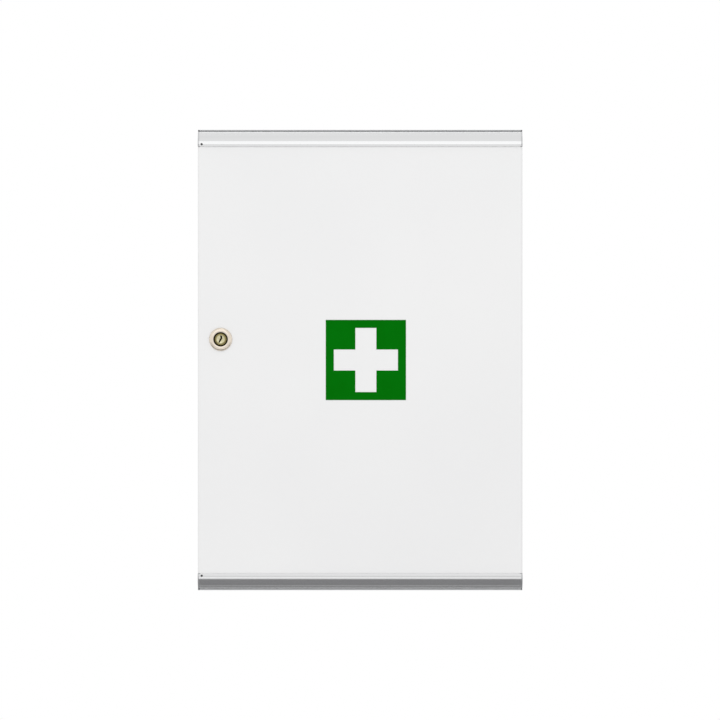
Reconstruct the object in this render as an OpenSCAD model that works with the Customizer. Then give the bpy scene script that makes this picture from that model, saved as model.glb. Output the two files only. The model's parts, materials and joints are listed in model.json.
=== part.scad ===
// Lockable wall cabinet for medicines and first-aid supplies, in millimetres.
// X runs to the right along the front, Y from the door to the wall, and Z up.
// The wall plane is Y = 0, and the origin is the middle of the four wall holes.

/* [Overall] */
// Width over the door and its rails
door_w = 324; // [280:2:400]
// Height over the two rails of the door
door_h = 460; // [400:2:560]
// Depth of the body from the wall to its front plane
body_d = 118; // [100:1:170]
// How far the door stands past the body at each side
side_overlay = 1.5; // [1:0.5:3]
// How far the door stands past the body at the top and the bottom
end_overlay = 1; // [0.5:0.5:3]

/* [Body sheets] */
// Thickness of the body sheets
sheet_t = 1; // [0.8:0.1:1.3]
// Outer radius of every fold in the body sheets
bend_r = 2; // [1.8:0.1:2.6]
// Width of the front flange that the cam catches behind
front_flange = 10; // [9:0.5:11]
// Width of the rear flange that carries the back panel
rear_flange = 14; // [10:1:20]
// Depth of the flanges around the top and bottom panels
pan_flange = 12; // [8:1:16]
// Length of the cut-out at each corner of those flanges
corner_relief = 6; // [3:0.5:10]
// Thickness of the back panel
back_t = 1; // [0.8:0.1:2]
// Inset of the back panel from the body's outline
back_inset = 1.5; // [1:0.5:4]
// Paint gap between sheets that lap
seam = 0.1; // [0.05:0.05:0.2]

/* [Wall fixing] */
// Distance between the wall holes across the cabinet
wall_hole_x = 240; // [180:5:250]
// Distance between the wall holes up the cabinet
wall_hole_z = 360; // [300:5:380]
// Radius of a wall hole
wall_hole_r = 3.5; // [2.5:0.5:5]

/* [Door] */
// Depth of the door from its back plane to its skin
door_d = 18; // [17:0.5:20]
// Thickness of the door skin
skin_t = 1; // [0.8:0.1:1.2]
// Outer radius of the door's side folds
door_bend_r = 2.5; // [2:0.1:3]
// Gap between the body's front plane and the door
door_gap = 2.5; // [2:0.1:4]
// Width of the lip at the back of each side fold
door_lip = 5; // [4:0.5:6]
// Width of the stiffener's crown
stiffener_w = 36; // [24:2:60]
// Height of the stiffener off the skin
stiffener_h = 9; // [6:0.5:12]
// Width of each glued foot of the stiffener
stiffener_foot = 12; // [8:1:20]
// Outer radius of the stiffener's folds
stiffener_bend_r = 2.2; // [1.8:0.1:2.5]
// Gap between each end of the stiffener and the rails
stiffener_gap = 0.5; // [0.3:0.1:2]
// Gap between the door's side folds and the rails
rail_gap = 0.3; // [0.2:0.1:0.5]

/* [Door rails] */
// Height of each rail
rail_h = 17; // [16.8:0.1:19]
// Wall thickness of the rail
rail_wall = 1.4; // [1.2:0.1:1.5]
// Height of the sharp lip at the outer edge
edge_lip = 0.3; // [0.2:0.1:0.5]
// Distance from the outer edge to the ledge of the groove under that lip
groove_h = 1.9; // [1.6:0.1:2.1]
// Depth of that groove
groove_d = 2.2; // [1.5:0.1:2.4]
// Width of the bevel between the groove and the sloping face
edge_bevel = 1.1; // [0.8:0.1:1.3]
// Tilt of the sloping face from upright
slope_tilt = 31; // [28:0.5:33]
// Radius of the round front
crest_r = 8.7; // [8:0.1:9.5]
// How far the crest of the round front stands past the skin
crest_proud = 2; // [1.8:0.1:2.2]
// Distance of that crest from the outer edge
crest_from_edge = 15; // [14.8:0.1:15.2]
// Distance of the fine score line from the bevel
score_from_bevel = 1.75; // [1.2:0.05:3]
// Width of the score line
score_w = 0.3; // [0.2:0.05:0.5]
// How far the clamping lip stands past the skin
lip_proud = 1.1; // [0.9:0.1:1.3]
// Height of the rail's rear flange
rail_rear = 9.5; // [8.5:0.5:12]
// How far the lip's foot lies behind its top
lip_taper = 0.2; // [0:0.05:0.3]
// Depth of the slot that holds the skin
skin_slot = 3.6; // [3.4:0.1:4]
// Clearance of the skin in that slot
slot_clear = 0.1; // [0.05:0.05:0.2]
// Radius of the screw port in each rail
port_r = 1.1; // [0.9:0.1:1.1]
// Wall around the screw port
port_wall = 0.7; // [0.6:0.05:0.8]
// Thickness of a rail's end cap
cap_t = 1.5; // [1.2:0.1:2.5]
// Length of the spigot that plugs the rail
cap_spigot = 6; // [4:0.5:12]
// Clearance of the spigot in the rail
spigot_clear = 0.2; // [0.1:0.05:0.3]
// Length of a cap's screw
cap_screw_l = 10; // [8:0.5:16]
// Radius of the head of a cap's screw
cap_head_r = 2; // [1.6:0.1:2.2]
// Radius of the pin that locks the skin in each rail
rail_pin_r = 0.8; // [0.6:0.05:0.9]
// Distance of that pin from the door's free edge
rail_pin_inset = 4; // [3.5:0.1:8]
// Distance of that pin from the rail's outer edge
rail_pin_from_edge = 14.9; // [14.8:0.1:15.4]
// Radial clearance around that pin
rail_pin_clear = 0.05; // [0.03:0.01:0.1]

/* [Hinges] */
// Distance of the hinge pins from the door's edge
hinge_inset = 6; // [5.6:0.1:6.2]
// Distance of the hinge pins in front of the door's back plane
hinge_forward = 9.5; // [9.3:0.1:10]
// Distance of each hinge from the door's top or bottom
hinge_end = 80; // [60:5:90]
// Radius of a hinge pin
pin_r = 2; // [1.5:0.1:2.2]
// Radial clearance of the pin
pin_clear = 0.05; // [0.03:0.01:0.1]
// Outer radius of the knuckle
knuckle_r = 3.8; // [3.4:0.1:4]
// How far the leaf's web lies inside the outside of the knuckle
knuckle_wrap = 0.2; // [0.1:0.05:0.5]
// Length of the knuckle
knuckle_l = 16; // [12:1:24]
// Radius of the bracket's ears around the pin
ear_r = 4; // [3.6:0.1:4.2]
// Thickness of the bracket's ears and base
ear_t = 2; // [1.5:0.1:2.5]
// End play of the knuckle between the ears
ear_play = 0.3; // [0.2:0.1:0.6]
// How far the bracket reaches behind the front plane
bracket_d = 15; // [11:1:15]
// Clearance of the cut-outs around the bracket
bracket_clear = 1.2; // [0.8:0.1:2]
// Thickness of the leaf on the door
leaf_t = 1.5; // [1.2:0.1:2]
// Width of the leaf on the skin
leaf_w = 26; // [18:1:40]
// Height of the leaf on the skin
leaf_h = 40; // [30:1:60]
// Outer radius of the folds in the hinge plates
hinge_bend_r = 3; // [2.6:0.1:3.2]
// Width of the bracket's arms
arm_w = 7; // [6:0.5:8]
// How far a pin reaches past the lower ear
pin_over = 1.5; // [1:0.1:3]
// How far a pin's head stands out around it
pin_head_rim = 1; // [0.6:0.1:1.5]
// Thickness of a pin's head
pin_head_t = 1.2; // [0.8:0.1:2]

/* [Lock] */
// Distance of the lock from the door's free edge
lock_inset = 22.9; // [22.5:0.1:25]
// Height of the lock above the middle
lock_z = 20.6; // [0:0.2:60]
// Radius of the lock's flange
lock_flange_r = 11.5; // [10.5:0.1:12.5]
// Height of the flange off the skin
lock_flange_h = 2.5; // [2:0.1:3]
// Radius of the barrel through the skin
barrel_r = 9.5; // [9:0.1:10]
// Clearance around the barrel in the door, the washer and the nut
barrel_clear = 0.1; // [0.05:0.05:0.2]
// How far the crest of the flange's round rim lies inside its edge
flange_crest_in = 3.1; // [2.8:0.1:3.2]
// Radius of the flange's round rim
flange_round_r = 3.4; // [3.2:0.1:3.8]
// Distance across the flats of the barrel
barrel_flats = 16; // [15.6:0.1:17]
// Radius of the plug
plug_r = 6.1; // [5.9:0.05:6.2]
// Radius of the raised middle of the plug
boss_r = 4.4; // [4.2:0.1:4.8]
// Height of that middle above the plug's rim
boss_h = 0.8; // [0.5:0.1:1]
// Width of the dark well around the plug
well_w = 1; // [0.8:0.05:1.1]
// Depth of that well from the crest of the flange
well_d = 4; // [3:0.5:6]
// Radial clearance of the plug in the barrel
plug_clear = 0.08; // [0.05:0.01:0.12]
// Width of the plug's stop, in degrees
stop_turn = 24; // [16:2:30]
// Length of the plug's stop along the lock
stop_l = 1.5; // [1:0.1:2]
// How far the stop stands out of the plug
stop_proud = 1.4; // [1:0.1:1.6]
// Depth of the keyway
keyway_d = 14; // [12:0.5:15]
// Width of the keyway
keyway_w = 1.8; // [1.4:0.1:2.2]
// Length of the keyway
keyway_l = 7.5; // [6:0.1:8.5]
// Lean of the keyway from upright
keyway_lean = 10; // [0:1:20]
// Distance from the lock's axis to the tip of the cam
cam_l = 17; // [15:0.5:18]
// Width of the cam
cam_w = 12; // [10:0.5:14]
// Thickness of the cam
cam_t = 1.6; // [1.2:0.1:2.5]
// Side of the square that drives the cam
cam_square = 7; // [6:0.1:7.5]
// Width of the cam's rim around that square's corners
cam_rim = 2.5; // [1.5:0.1:3]
// Play of the cam on its square
cam_play = 0.05; // [0.03:0.01:0.1]
// Running gap between the cam and the strike plate
cam_gap = 0.4; // [0.3:0.1:1]
// Thickness of the lock's washer
washer_t = 1; // [0.6:0.1:1.5]
// How far the washer reaches past the barrel
washer_rim = 3; // [2:0.5:4]
// Thickness of the lock's nut
nut_t = 4; // [3:0.5:5]
// Distance across the flats of the nut
nut_af = 23; // [22:0.5:25]
// Radius of the cam screw
cam_screw_r = 2; // [1.5:0.1:2.2]
// How far the cam screw's head stands out around it
cam_head_rim = 2; // [1.5:0.1:2.5]
// Thickness of the cam screw's head
cam_head_t = 2; // [1.5:0.1:2.5]
// Length of the cam screw under its head
cam_screw_l = 7; // [5:0.5:8]
// Thickness of the strike plate
strike_t = 1.2; // [0.8:0.1:1.5]
// Height of the strike plate
strike_h = 50; // [40:1:80]

/* [Shelves] */
// Width of a slotted shelf rail
track_w = 14; // [12:1:16]
// How far a shelf rail stands off the side
track_proj = 6; // [5:0.5:8]
// Distance between two slots
slot_pitch = 25; // [20:1:32]
// Distance of a slotted rail's end from the body's top and bottom
track_end = 28; // [20:1:40]
// Distance of the front shelf rails from the front plane
track_front = 24; // [24:1:30]
// Distance of the rear shelf rails from the wall
track_rear = 20; // [16:1:26]
// Slots between the middle of the cabinet and each shelf
shelf_slot_count = 3; // [2:1:5]
// Thickness of a shelf
shelf_t = 1; // [0.8:0.1:1.3]
// Depth of a shelf's front and rear lips
shelf_lip = 15; // [10:1:20]
// Distance of a shelf's front edge from the front plane
shelf_front = 10; // [8:1:14]
// Distance of a shelf's rear edge from the wall
shelf_rear = 5; // [3:1:10]
// Gap between a shelf's ends and the shelf rails
shelf_gap = 0.6; // [0.3:0.1:0.8]
// Thickness of a shelf clip
clip_t = 1.5; // [1.2:0.1:2]
// Width of a shelf clip
clip_w = 8; // [6:0.5:9]
// How far a clip reaches under the shelf
clip_reach = 11; // [8:0.5:16]
// Length of the clip's hook behind the rail
clip_hook = 3; // [2:0.5:5]
// Length of the clip's leg before the rail
clip_leg = 7; // [5:0.5:10]
// Play of a clip across its rail's web
clip_play = 0.3; // [0.2:0.05:0.4]
// Height of a slot over the thickness of its clip
slot_play = 2; // [1:0.1:2.5]

/* [Sign and buffers] */
// Side of the green first-aid square
sign_w = 80; // [60:1:120]
// Distance of the sign to the right of the middle
sign_x = 5.7; // [-30:0.1:30]
// Span of the white cross
cross_span = 64; // [40:1:76]
// Width of the cross's arms
cross_arm = 21; // [14:0.5:26]
// Thickness of the vinyl sign
sign_t = 0.2; // [0.1:0.05:0.4]
// Radius of a door buffer
buffer_r = 4; // [3:0.1:4.2]
// Radius of a buffer's domed face
buffer_dome = 8; // [6:0.5:20]
// Gap between a buffer and the closed door
buffer_gap = 0.2; // [0.1:0.05:0.4]

/* [Hidden] */
$fn = 48;
powder_white = [0.93, 0.93, 0.93];
anodised = [0.78, 0.79, 0.8];
cap_grey = [0.62, 0.63, 0.64];
zinc = [0.72, 0.73, 0.75];
brass = [0.8, 0.66, 0.36];
nickel = [0.86, 0.82, 0.7];
sign_green = [0.01, 0.44, 0.03];
buffer_grey = [0.75, 0.75, 0.73];

// Body outline and its inner faces
body_w = door_w - 2 * side_overlay;
body_h = door_h - 2 * end_overlay;
wall_in = body_w / 2 - sheet_t;
shell_y = -back_t - seam;
front_y = -body_d;

// How far pieces of one sheet run into each other where they join
lap = sheet_t / 5;

// Planes of the door
door_back = front_y - door_gap;
skin_out = door_back - door_d;
skin_in = skin_out + skin_t;

// Outline of a rail, drawn with x forward from the door's back plane and y down from the edge
crest_f = door_d + crest_proud;
round_f = crest_f - crest_r;
crease = 4;
round_top = [round_f + crest_r * cos(slope_tilt + crease), crest_from_edge - crest_r * sin(slope_tilt + crease)];
bevel_h = groove_h + edge_bevel;
slope_f = round_top.x - (round_top.y - bevel_h) * tan(slope_tilt);
ledge_f = slope_f - edge_bevel;
lip_f = door_d + lip_proud;
slot_front = door_d + slot_clear;
slot_back = door_d - skin_t - slot_clear;
slot_top = rail_h - skin_slot;
port = [slot_back - rail_wall + port_wall + port_r, slot_top - port_wall - port_r];
rail_l = door_w - 2 * cap_t;
cap_hole_r = port_r + 0.1;
rail_pin_head_r = rail_pin_r + 0.3;
rail_pin_seat = slot_front + 0.3;

// Hinge axis
pin_x = door_w / 2 - hinge_inset;
pin_y = door_back - hinge_forward;
hinge_z = door_h / 2 - hinge_end;
bore_r = pin_r + pin_clear;
ear_half = knuckle_l / 2 + ear_play + ear_t;
base_x = wall_in - seam;
base_y = front_y + bend_r + 1;

// Planes of the lock, measured along its axis from the front of the skin
lock_x = -door_w / 2 + lock_inset;
strike_back = front_y + sheet_t + seam + strike_t;
cam_front = skin_out - strike_back - cam_gap;
cam_back = cam_front - cam_t;
barrel_end = cam_front + 0.2;
plug_face = lock_flange_h - 0.6;
plug_end = cam_front + 0.1;
plug_bore_r = plug_r + plug_clear;
plug_turn = 90;
stop_play = 2;
stop_from = 45;

// Shelf rails and shelves
track_h = body_h - 2 * track_end;
track_face = wall_in - track_proj;
front_track_y = front_y + track_front;
rear_track_y = -track_rear;
slot_w = clip_w + 1;
slot_h = clip_t + slot_play;
slots_each_way = floor((track_h / 2 - slot_h) / slot_pitch);
shelf_w = 2 * (track_face - shelf_gap);
shelf_d = body_d - shelf_front - shelf_rear;
shelf_z = shelf_slot_count * slot_pitch;

// A quarter ring: the section of a fold, in the first quadrant, with a tab into the wall at each end
module fold(r, t) {
    intersection() {
        difference() {
            circle(r);
            circle(r - t);
        }
        square(r);
    }
    translate([-lap, r - t]) square([lap, t]);
    translate([r - t, -lap]) square([t, lap]);
}

// A folded channel: its web lies on x = 0 from y = 0 to -depth, its flanges point to +x
module channel(depth, front, rear, t, r) {
    translate([0, r - depth]) square([t, depth - 2 * r]);
    translate([r, r - depth]) rotate(180) fold(r, t);
    translate([r, -depth]) square([front - r, t]);
    translate([r, -r]) rotate(90) fold(r, t);
    translate([r, -t]) square([rear - r, t]);
}

// A fold with a flange that points to -y
module fold_down(flange, t, r) {
    fold(r, t);
    translate([r - t, r - flange]) square([t, flange - r]);
}

// Places children about the lock's axis: z is forward from the front of the skin, y is up
module on_lock() {
    translate([lock_x, skin_out, lock_z]) rotate([90, 0, 0]) children();
}

// A part of a disc that starts at angle from and covers the angle turn, under 180 degrees
module sector(r, from, turn) {
    intersection() {
        circle(r);
        polygon([[0, 0], for (i = [0 : 4]) 2 * r * [cos(from + turn * i / 4), sin(from + turn * i / 4)]]);
    }
}

// --- Body ---

module back_panel() {
    color(powder_white) difference() {
        translate([back_inset - body_w / 2, -back_t, back_inset - body_h / 2])
            cube([body_w - 2 * back_inset, back_t, body_h - 2 * back_inset]);
        for (sx = [-1, 1], sz = [-1, 1])
            translate([sx * wall_hole_x / 2, 0.5, sz * wall_hole_z / 2])
                rotate([90, 0, 0]) cylinder(r = wall_hole_r, h = back_t + 1);
    }
}

// Folded side of the body, drawn on the left
module side_sheet() {
    translate([-body_w / 2, shell_y, -body_h / 2])
        linear_extrude(body_h)
            channel(body_d + shell_y, front_flange, rear_flange, sheet_t, bend_r);
}

module left_side() {
    color(powder_white) side_sheet();
}

// The hinge side has a cut-out in its front flange for each bracket
module right_side() {
    cut_h = 2 * (ear_half + bracket_clear);
    cut_d = bend_r + 1;
    color(powder_white) difference() {
        mirror([1, 0, 0]) side_sheet();
        for (sz = [-1, 1])
            translate([wall_in - front_flange, front_y - 1, sz * hinge_z - cut_h / 2])
                cube([front_flange, cut_d + 1, cut_h]);
    }
}

// Folded top of the body: a plate with a flange down along each edge
module end_pan() {
    pan_w = 2 * (wall_in - seam);
    pan_d = body_d + shell_y - 2 * (sheet_t + seam);
    pan_rear = shell_y - sheet_t - seam;
    color(powder_white) translate([0, pan_rear, body_h / 2]) {
        translate([bend_r - pan_w / 2, 0, 0]) rotate([0, 90, 0])
            linear_extrude(pan_w - 2 * bend_r)
                channel(pan_d, pan_flange, pan_flange, sheet_t, bend_r);
        for (side = [0, 1]) mirror([side, 0, 0])
            translate([pan_w / 2 - bend_r, -corner_relief, -bend_r]) rotate([90, 0, 0])
                linear_extrude(pan_d - 2 * corner_relief)
                    fold_down(pan_flange, sheet_t, bend_r);
    }
}

module top_panel() {
    end_pan();
}

module bottom_panel() {
    mirror([0, 0, 1]) end_pan();
}

// --- Shelves ---

// Slotted rail on the left side, centred at depth y
module track(y) {
    color(powder_white) difference() {
        translate([-track_face, y + track_w / 2, -track_h / 2]) mirror([1, 0, 0])
            linear_extrude(track_h)
                channel(track_w, track_proj - seam, track_proj - seam, sheet_t, bend_r);
        for (i = [-slots_each_way : slots_each_way])
            translate([-track_face - sheet_t - 0.5, y - slot_w / 2, i * slot_pitch - slot_h / 2])
                cube([sheet_t + 1, slot_w, slot_h]);
    }
}

module shelf_rail_front_left() {
    track(front_track_y);
}

module shelf_rail_rear_left() {
    track(rear_track_y);
}

module shelf_rail_front_right() {
    mirror([1, 0, 0]) track(front_track_y);
}

module shelf_rail_rear_right() {
    mirror([1, 0, 0]) track(rear_track_y);
}

// Folded shelf whose plate rests on its clips at height z
module shelf(z) {
    plate_top = z + clip_t / 2 + seam + shelf_t;
    color(powder_white) translate([-shelf_w / 2, -shelf_rear, plate_top]) rotate([0, 90, 0])
        linear_extrude(shelf_w) channel(shelf_d, shelf_lip, shelf_lip, shelf_t, bend_r);
}

module upper_shelf() {
    shelf(shelf_z);
}

module lower_shelf() {
    shelf(-shelf_z);
}

// Bent clip in a slot of the left front rail: a ledge, a hook behind the web and a leg before it
module clip() {
    hook_x = -track_face - sheet_t - clip_play - clip_t;
    leg_x = -track_face + seam;
    translate([0, -clip_w / 2, 0]) {
        translate([hook_x, 0, -clip_t / 2]) cube([leg_x + clip_reach - hook_x, clip_w, clip_t]);
        translate([hook_x, 0, -clip_t / 2 - clip_hook]) cube([clip_t, clip_w, clip_hook + clip_t / 2]);
        translate([leg_x, 0, -clip_t / 2 - clip_leg]) cube([clip_t, clip_w, clip_leg + clip_t / 2]);
    }
}

module shelf_clips(z) {
    color(zinc) for (side = [0, 1], y = [front_track_y, rear_track_y])
        mirror([side, 0, 0]) translate([0, y, z]) clip();
}

module upper_shelf_clips() {
    shelf_clips(shelf_z);
}

module lower_shelf_clips() {
    shelf_clips(-shelf_z);
}

// --- Hinges ---

// Folded bracket inside the hinge side, with two ears that carry the pin
module hinge_bracket(z) {
    arm_x = pin_x - arm_w / 2;
    color(zinc) translate([0, 0, z]) difference() {
        union() {
            for (side = [-1, 1])
                translate([0, 0, side * (ear_half - ear_t / 2) - ear_t / 2]) linear_extrude(ear_t) {
                    translate([pin_x, pin_y]) circle(ear_r);
                    translate([arm_x, pin_y]) square([min(base_x - arm_x, arm_w), base_y - pin_y]);
                    translate([arm_x, pin_y]) square([base_x - hinge_bend_r - arm_x, base_y + lap - pin_y]);
                }
            translate([base_x, front_y + bracket_d, ear_half]) rotate([90, 0, 0])
                linear_extrude(front_y + bracket_d - base_y) mirror([1, 0])
                    channel(2 * ear_half, base_x - arm_x, base_x - arm_x, ear_t, hinge_bend_r);
        }
        translate([pin_x, pin_y, -ear_half - 1]) cylinder(r = bore_r, h = 2 * ear_half + 2);
    }
}

module hinge_bracket_upper() {
    hinge_bracket(hinge_z);
}

module hinge_bracket_lower() {
    hinge_bracket(-hinge_z);
}

// Headed pin, dropped in from above
module hinge_pin(z) {
    color(zinc) translate([pin_x, pin_y, z]) {
        translate([0, 0, -ear_half - pin_over]) cylinder(r = pin_r, h = 2 * ear_half + pin_over + pin_head_t / 2);
        translate([0, 0, ear_half + seam]) cylinder(r = pin_r + pin_head_rim, h = pin_head_t);
    }
}

module hinge_pin_upper() {
    hinge_pin(hinge_z);
}

module hinge_pin_lower() {
    hinge_pin(-hinge_z);
}

// Leaf folded from the inside of the skin back to a knuckle around the pin
module hinge_leaf(z) {
    web_x = pin_x - knuckle_r + knuckle_wrap;
    leaf_y = skin_in + seam;
    fold_x = web_x + leaf_t - hinge_bend_r;
    color(zinc) translate([0, 0, z]) difference() {
        union() {
            translate([0, 0, -knuckle_l / 2]) linear_extrude(knuckle_l) {
                translate([pin_x, pin_y]) circle(knuckle_r);
                translate([web_x, leaf_y + hinge_bend_r]) square([leaf_t, pin_y - leaf_y - hinge_bend_r]);
                translate([fold_x, leaf_y + hinge_bend_r]) rotate(-90) fold(hinge_bend_r, leaf_t);
            }
            translate([fold_x - leaf_w, leaf_y, -leaf_h / 2]) cube([leaf_w, leaf_t, leaf_h]);
        }
        translate([pin_x, pin_y, -knuckle_l]) cylinder(r = bore_r, h = 2 * knuckle_l);
    }
}

module hinge_leaf_upper() {
    hinge_leaf(hinge_z);
}

module hinge_leaf_lower() {
    hinge_leaf(-hinge_z);
}

// --- Door ---

// Folded door panel: skin, side returns and their lips
module door_panel() {
    panel_h = door_h - 2 * (rail_h + rail_gap);
    skin_h = door_h - 2 * (slot_top + slot_clear);
    cut_h = 2 * (ear_half + bracket_clear);
    cut_x = pin_x - 1;
    cut_front = skin_out + door_bend_r;
    color(powder_white) difference() {
        union() {
            translate([door_bend_r - door_w / 2, skin_out, -skin_h / 2])
                cube([door_w - 2 * door_bend_r, skin_t, skin_h]);
            for (side = [0, 1]) mirror([side, 0, 0])
                translate([-door_w / 2, door_back, -panel_h / 2]) linear_extrude(panel_h) {
                    translate([0, door_bend_r - door_d]) square([skin_t, door_d - 2 * door_bend_r]);
                    translate([door_bend_r, door_bend_r - door_d]) rotate(180) fold(door_bend_r, skin_t);
                    translate([door_bend_r, -door_bend_r]) rotate(90) fold(door_bend_r, skin_t);
                    translate([door_bend_r, -skin_t]) square([door_lip - door_bend_r, skin_t]);
                }
        }
        for (sz = [-1, 1])
            translate([cut_x, cut_front, sz * hinge_z - cut_h / 2])
                cube([door_w / 2 - cut_x + 1, door_back - cut_front + 1, cut_h]);
        on_lock() translate([0, 0, -skin_t - 1]) linear_extrude(skin_t + 2) barrel_section(barrel_clear);
        at_rail_pins() cylinder(r = rail_pin_r + rail_pin_clear, h = crest_f);
    }
}

// Hat-shaped stiffener glued up the middle of the skin
module door_stiffener() {
    length = door_h - 2 * (rail_h + stiffener_gap);
    crown = stiffener_w / 2;
    foot_x = crown - skin_t + stiffener_bend_r;
    color(powder_white) translate([0, skin_in + seam, -length / 2]) linear_extrude(length)
        for (side = [0, 1]) mirror([side, 0]) {
            translate([foot_x, 0]) square([stiffener_foot - stiffener_bend_r, skin_t]);
            translate([foot_x, stiffener_bend_r]) rotate(180) fold(stiffener_bend_r, skin_t);
            translate([crown - skin_t, stiffener_bend_r]) square([skin_t, stiffener_h - 2 * stiffener_bend_r]);
            translate([crown - stiffener_bend_r, stiffener_h - stiffener_bend_r])
                fold(stiffener_bend_r, skin_t);
            translate([0, stiffener_h - skin_t]) square([crown - stiffener_bend_r, skin_t]);
        }
}

// --- Rails of the door ---

// Solid outline of the rail: sharp edge, groove, bevel, sloping face, round front and clamping lip
module rail_outline() {
    inside = crest_r * sin(crease);
    polygon([
        [0, 0], [0, -rail_h], [lip_f - lip_taper, -rail_h], [lip_f, -crest_from_edge],
        [round_top.x + inside * sin(slope_tilt), -round_top.y - inside * cos(slope_tilt)],
        [slope_f, -bevel_h], [ledge_f, -groove_h], [ledge_f - groove_d, -groove_h],
        [ledge_f, -edge_lip], [ledge_f, 0]
    ]);
    translate([round_f, -crest_from_edge]) intersection() {
        circle(crest_r, $fn = 96);
        square(crest_r);
    }
}

// Hollow behind the sloping face and the groove, held back from the rail's walls by a clearance
module rail_hollow(clear) {
    wall = rail_wall + clear;
    inner = slot_back - wall;
    behind_slope = slope_f - wall / cos(slope_tilt);
    under_groove = groove_h + wall;
    meet = bevel_h + (inner - behind_slope) / tan(slope_tilt);
    polygon([
        [wall, -wall], [wall, -rail_h - 1], [inner, -rail_h - 1], [inner, -meet],
        [behind_slope + (under_groove - bevel_h) * tan(slope_tilt), -under_groove],
        [ledge_f - groove_d - wall, -under_groove], [ledge_f - groove_d - wall, -wall]
    ]);
}

module rail_section() {
    difference() {
        rail_outline();
        rail_hollow(0);
        translate([-1, -rail_h - 1]) square([rail_wall + 2, rail_h + 1 - rail_rear]);
        translate([slot_back, -rail_h - 1]) square([slot_front - slot_back, skin_slot + 1]);
        translate([port.x, -port.y]) circle(port_r);
        translate([slope_f, -bevel_h]) rotate(slope_tilt - 90) translate([score_from_bevel, 0])
            rotate(45) square(score_w * sqrt(0.5), center = true);
    }
}

// Places a drawing of the section at the top of the door, extruded along X
module along_top(length) {
    translate([0, door_back, door_h / 2]) rotate([90, 0, -90])
        linear_extrude(length, center = true) children();
}

// Places children where the pins lock the skin, with z forward from the door's back plane
module at_rail_pins() {
    for (side = [0, 1]) mirror([0, 0, side])
        translate([rail_pin_inset - door_w / 2, door_back, door_h / 2 - rail_pin_from_edge])
            rotate([90, 0, 0]) children();
}

module rail() {
    color(anodised) difference() {
        along_top(rail_l) rail_section();
        at_rail_pins() cylinder(r = rail_pin_r + rail_pin_clear, h = crest_f);
        at_rail_pins() translate([0, 0, rail_pin_seat])
            cylinder(r = rail_pin_head_r + rail_pin_clear, h = crest_f);
    }
}

module top_rail() {
    rail();
}

module bottom_rail() {
    mirror([0, 0, 1]) rail();
}

// Place of a cap's screw, at the outer face of the right cap, with z into the rail
module at_cap_screw() {
    translate([door_w / 2, door_back - port.x, door_h / 2 - port.y]) rotate([0, -90, 0]) children();
}

// End cap at the right end of the top rail
module rail_cap() {
    sink = cap_head_r + 0.1;
    color(cap_grey) difference() {
        union() {
            translate([door_w / 2 - cap_t / 2, 0, 0]) along_top(cap_t) rail_outline();
            translate([rail_l / 2 - cap_spigot / 2, 0, 0]) along_top(cap_spigot + 0.02)
                intersection() {
                    rail_hollow(spigot_clear);
                    translate([0, -rail_rear]) square([crest_f, rail_rear]);
                }
        }
        at_cap_screw() translate([0, 0, -1]) cylinder(r = cap_hole_r, h = cap_t + 2);
        at_cap_screw() translate([0, 0, -0.01]) cylinder(r1 = sink, r2 = cap_hole_r, h = sink - cap_hole_r);
    }
}

module top_rail_cap_right() {
    rail_cap();
}

module top_rail_cap_left() {
    mirror([1, 0, 0]) rail_cap();
}

module bottom_rail_cap_right() {
    mirror([0, 0, 1]) rail_cap();
}

module bottom_rail_cap_left() {
    mirror([0, 0, 1]) mirror([1, 0, 0]) rail_cap();
}

// Countersunk screw of each cap, in the rail's port
module rail_cap_screws() {
    shank_r = port_r - 0.05;
    color(zinc) for (sx = [0, 1], sz = [0, 1])
        mirror([sx, 0, 0]) mirror([0, 0, sz]) at_cap_screw() {
            translate([0, 0, 0.05]) cylinder(r1 = cap_head_r, r2 = shank_r, h = cap_head_r - shank_r);
            translate([0, 0, cap_head_r - shank_r]) cylinder(r = shank_r, h = cap_screw_l);
        }
}

// Headed pins that lock the skin in the rails at the free edge
module rail_pins() {
    back = slot_back - rail_wall + 0.05;
    color(zinc) at_rail_pins() {
        translate([0, 0, back]) cylinder(r = rail_pin_r, h = rail_pin_seat + 0.1 - back);
        translate([0, 0, rail_pin_seat + 0.05]) cylinder(r = rail_pin_head_r, h = lip_f - 0.2 - rail_pin_seat);
    }
}

module first_aid_sign() {
    color(sign_green) translate([sign_x, skin_out, 0]) rotate([90, 0, 0])
        linear_extrude(sign_t) difference() {
            square(sign_w, center = true);
            square([cross_span, cross_arm], center = true);
            square([cross_arm, cross_span], center = true);
        }
}

// --- Lock ---

// Section of the barrel, round with two flats that keep it from turning in the door
module barrel_section(clear) {
    intersection() {
        circle(barrel_r + clear);
        square([barrel_flats + 2 * clear, 3 * barrel_r], center = true);
    }
}

// Barrel with a round flange, a well around the plug and a stop behind for a quarter turn
module lock_barrel() {
    stop_r = plug_r + stop_proud + plug_clear;
    color(nickel) on_lock() difference() {
        union() {
            rotate_extrude() intersection() {
                translate([lock_flange_r - flange_crest_in, lock_flange_h - flange_round_r])
                    circle(flange_round_r);
                translate([0, seam]) square([lock_flange_r, lock_flange_h]);
            }
            translate([0, 0, barrel_end]) linear_extrude(1 - barrel_end) barrel_section(0);
        }
        translate([0, 0, barrel_end - 1]) cylinder(r = plug_bore_r, h = lock_flange_h - barrel_end + 2);
        translate([0, 0, lock_flange_h - well_d]) cylinder(r = plug_r + well_w, h = 2 * well_d);
        translate([0, 0, barrel_end - 1]) linear_extrude(stop_l + plug_clear + 1)
            sector(stop_r, stop_from - plug_turn - stop_play, plug_turn + stop_turn + 2 * stop_play);
    }
}

module lock_washer() {
    color(zinc) on_lock() translate([0, 0, -skin_t - seam - washer_t]) linear_extrude(washer_t)
        difference() {
            circle(barrel_r + washer_rim);
            barrel_section(barrel_clear);
        }
}

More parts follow.
